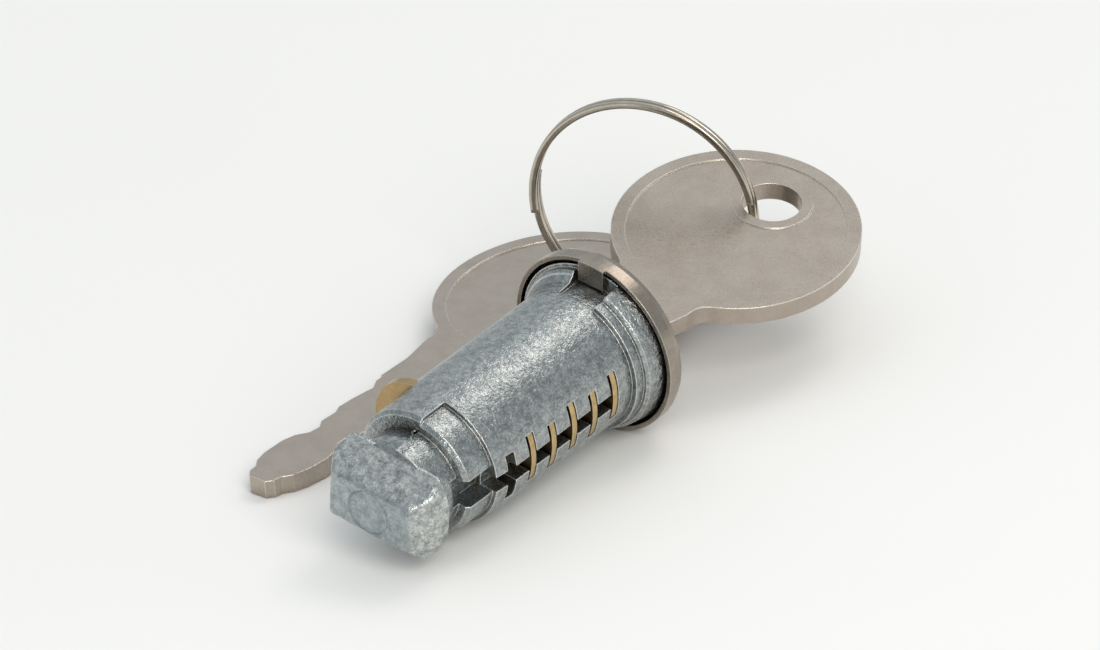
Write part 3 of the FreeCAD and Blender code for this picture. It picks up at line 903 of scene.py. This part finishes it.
@dataclass
class Retainer:
    """The wide plate that holds the plug in its housing, and its spring."""

    travel: float = 2.2 * MM
    spring_turns: float = 5.5

    def build(self) -> None:
        """Dress the plate and wind its spring, which the plate shortens against the post."""
        dress(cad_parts["retaining_wafer"], RETAINER_BRASS.build())
        coil = Coil("retaining_spring", turns=self.spring_turns)
        piece = coil.build(BRIGHT_WIRE.build())
        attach(piece, "plug")
        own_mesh(piece)
        log.info("retaining wafer dressed")


@dataclass
class Keys:
    """The key in the lock and the one on the ring."""

    names: tuple[str, ...] = ("key", "spare_key")

    def build(self) -> None:
        """Dress both keys."""
        nickel = NICKEL_PLATE.build()
        for name in self.names:
            dress(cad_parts[name], nickel)
        log.info("keys dressed")


@dataclass
class SplitRing:
    """Two turns of flat wire and a short overlap, through the holes of both keys.

    Angles are in degrees round the ring, from the point that passes through the lock's key:
    the wire starts at start, and the loose key hangs at spread. key_hole is the middle of the
    key's hole, and the wire passes it at_key to the side.
    """

    radius: float = 11.14 * MM
    wire_radial: float = 0.75 * MM
    wire_axial: float = 0.57 * MM
    squareness: float = 3.2
    coil_gap: float = 0.06 * MM
    full_turns: int = 2
    overlap: float = 20.0
    start: float = 175.0
    spread: float = 127.17
    key_hole: Point = (0.0, 29.07 * MM, 0.0)
    at_key: Pair = (-1.13 * MM, -1.24 * MM)
    toward_key: Point = (0.913, 0.352, 0.206)
    normal: Point = (-0.327, 0.934, -0.147)
    steps: int = 480
    sides: int = 28

    def build(self) -> None:
        """Sweep the wire.

        The line is a circle gone round twice and an overlap, whose height grows evenly with
        its angle: pitch x (turns gone - turns to the loose key - 1/2).
        """
        normal = unit(self.normal)
        across = unit(np.cross(normal, unit(self.toward_key)))
        toward = np.cross(across, normal)
        crossing = np.array(self.key_hole) + np.array([*self.at_key, 0.0])
        centre = crossing - toward * self.radius
        pitch = self.wire_axial + self.coil_gap
        at_spare = ((self.spread - self.start) % FULL_TURN) / FULL_TURN
        angle = np.linspace(0.0, FULL_TURN * self.full_turns + self.overlap, self.steps)
        height = pitch * (angle / FULL_TURN - at_spare - 0.5)
        turn = np.radians(angle + self.start)[:, None]
        outward = np.cos(turn) * toward + np.sin(turn) * across
        line = centre + self.radius * outward + height[:, None] * normal
        rise = np.repeat(normal[None, :], self.steps, axis=0)
        profile = superellipse(self.wire_radial / 2, self.wire_axial / 2, self.squareness,
                               self.sides)
        piece = swept("split_ring_wire", line, -outward, rise, profile)
        dress(piece, BRIGHT_WIRE.build())
        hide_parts("split_ring")
        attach(piece, "ring")
        log.info("split ring swept, %d steps", self.steps)


@dataclass(frozen=True)
class Softbox:
    """A soft square lamp that looks at the object.

    Its place and its side are in metres and its power is in watts.
    """

    name: str
    place: Point
    side: float
    power: float
    colour: str

    def hang(self) -> None:
        """Hang the lamp, out of the camera's sight."""
        light = bpy.data.lights.new(self.name, "AREA")
        light.size = self.side
        light.energy = self.power
        light.color = linear(self.colour)[:3]
        lamp = bpy.data.objects.new(self.name, light)
        lamp.location = self.place
        lamp.rotation_euler = Vector(self.place).to_track_quat("Z", "Y").to_euler()
        lamp.visible_camera = False
        bpy.context.scene.collection.objects.link(lamp)


@dataclass
class Studio:
    """Pale floor that the object rests on, soft light and the camera at the photograph's angle.

    right and up are the directions of the picture's axes, and centre_right and centre_up say
    how far its middle lies along them from the origin.
    """

    photo_width: float = 1100.0
    pixels_to_mm: float = 10.5
    right: Point = (0.7756, 0.6302, 0.0367)
    up: Point = (-0.4184, 0.4697, 0.7773)
    centre_right: float = -2.924 * MM
    centre_up: float = 2.638 * MM
    distance: float = 2.75
    floor_normal: Point = (-0.231, 0.078, 0.970)
    floor_reach: float = 2.0
    floor_cloud: float = 60 * MM
    floor_tones: tuple[str, str] = ("#fbfaf8", "#f8f7f5")
    sky_colour: str = "#f4fbff"
    sky_base: float = 0.58
    sky_lobe: float = 0.32
    sky_focus: float = 5.0
    sky_way: Point = (-0.60, 0.50, 0.62)
    lamps: tuple[Softbox, ...] = (
        Softbox("softbox behind", (-0.10, 0.62, 0.78), 0.42, 1.5, "#fff6ee"),
        Softbox("softbox in front", (0.55, -0.35, 0.78), 0.60, 5.2, "#fffaf2"),
    )

    def build(self) -> None:
        """Make the floor, the lamps, the sky and the camera."""
        self.floor()
        for softbox in self.lamps:
            softbox.hang()
        self.sky()
        self.camera()
        bpy.context.scene.view_settings.view_transform = "Standard"
        log.info("studio ready")

    def floor(self) -> None:
        """Lay a plain pale floor on which the cap's rim, the ring and the loose key rest.

        Its plane is all points whose dot product with the normal is the least that any
        vertex of the object has.
        """
        normal = unit(self.floor_normal)
        height = min(float((vertices(node) @ normal).min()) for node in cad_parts.values())
        across = unit(np.cross((0.0, 1.0, 0.0), normal))
        along = np.cross(normal, across)
        signs = np.array([[-1, -1], [1, -1], [1, 1], [-1, 1]]) * self.floor_reach
        corners = normal * height + signs[:, :1] * across + signs[:, 1:] * along
        piece = mesh_piece("floor", corners, [[0, 1, 2, 3]])
        material, tree = new_material("pale floor")
        place = add_node(tree, "ShaderNodeTexCoord").outputs["Object"]
        cloud = add_node(tree, "ShaderNodeTexNoise",
                         {"Scale": 1 / self.floor_cloud, "Detail": 2.0},
                         {"Vector": place}).outputs["Fac"]
        light, dark = (linear(tone) for tone in self.floor_tones)
        tone = add_node(tree, "ShaderNodeMix",
                        {"data_type": "RGBA", COLOUR_A: light, COLOUR_B: dark},
                        {0: cloud}).outputs[COLOUR_OUT]
        matte = add_node(tree, "ShaderNodeBsdfDiffuse", links={"Color": tone}).outputs[0]
        add_node(tree, "ShaderNodeOutputMaterial", links={"Surface": matte})
        dress(piece, material)

    def sky(self) -> None:
        """Light the object from all round, a little brighter behind it on the left.

        The radiance is base + lobe x max(0, direction . way) to the power of the focus.
        """
        world = bpy.data.worlds.new("studio walls")
        bpy.context.scene.world = world
        world.use_nodes = True
        tree = world.node_tree
        tree.nodes.clear()
        place = add_node(tree, "ShaderNodeTexCoord").outputs["Generated"]
        way = add_node(tree, "ShaderNodeVectorMath",
                       {"operation": "DOT_PRODUCT", 1: tuple(unit(self.sky_way))},
                       {0: place}).outputs["Value"]
        facing = add_node(tree, "ShaderNodeMath", {"operation": "MAXIMUM", 1: 0.0},
                          {0: way}).outputs[0]
        lobe = add_node(tree, "ShaderNodeMath", {"operation": "POWER", 1: self.sky_focus},
                        {0: facing}).outputs[0]
        shade = add_node(tree, "ShaderNodeMath",
                         {"operation": "MULTIPLY_ADD", 1: self.sky_lobe, 2: self.sky_base},
                         {0: lobe}).outputs[0]
        walls = add_node(tree, "ShaderNodeBackground", {"Color": linear(self.sky_colour)},
                         {"Strength": shade}).outputs[0]
        add_node(tree, "ShaderNodeOutputWorld", links={"Surface": walls})

    def camera(self) -> None:
        """Place a long-lens camera so that the frame's middle and width are the photograph's."""
        right, up = Vector(self.right).normalized(), Vector(self.up).normalized()
        back = right.cross(up).normalized()
        up = back.cross(right)
        frame_width = self.photo_width / self.pixels_to_mm * MM
        data = bpy.data.cameras.new("camera")
        data.lens = data.sensor_width * self.distance / frame_width
        camera = bpy.data.objects.new("camera", data)
        target = right * self.centre_right + up * self.centre_up
        turn = Matrix((right, up, back)).transposed().to_4x4()
        camera.matrix_world = Matrix.Translation(target + back * self.distance) @ turn
        bpy.context.scene.collection.objects.link(camera)
        bpy.context.scene.camera = camera


def main() -> None:
    """Build the object and set the studio."""
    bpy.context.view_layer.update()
    for part in (Plug(), Neck(), DriverBar(), WaferPack(), Retainer(), Keys(), SplitRing()):
        part.build()
    Studio().build()


if __name__ == "__main__":
    main()
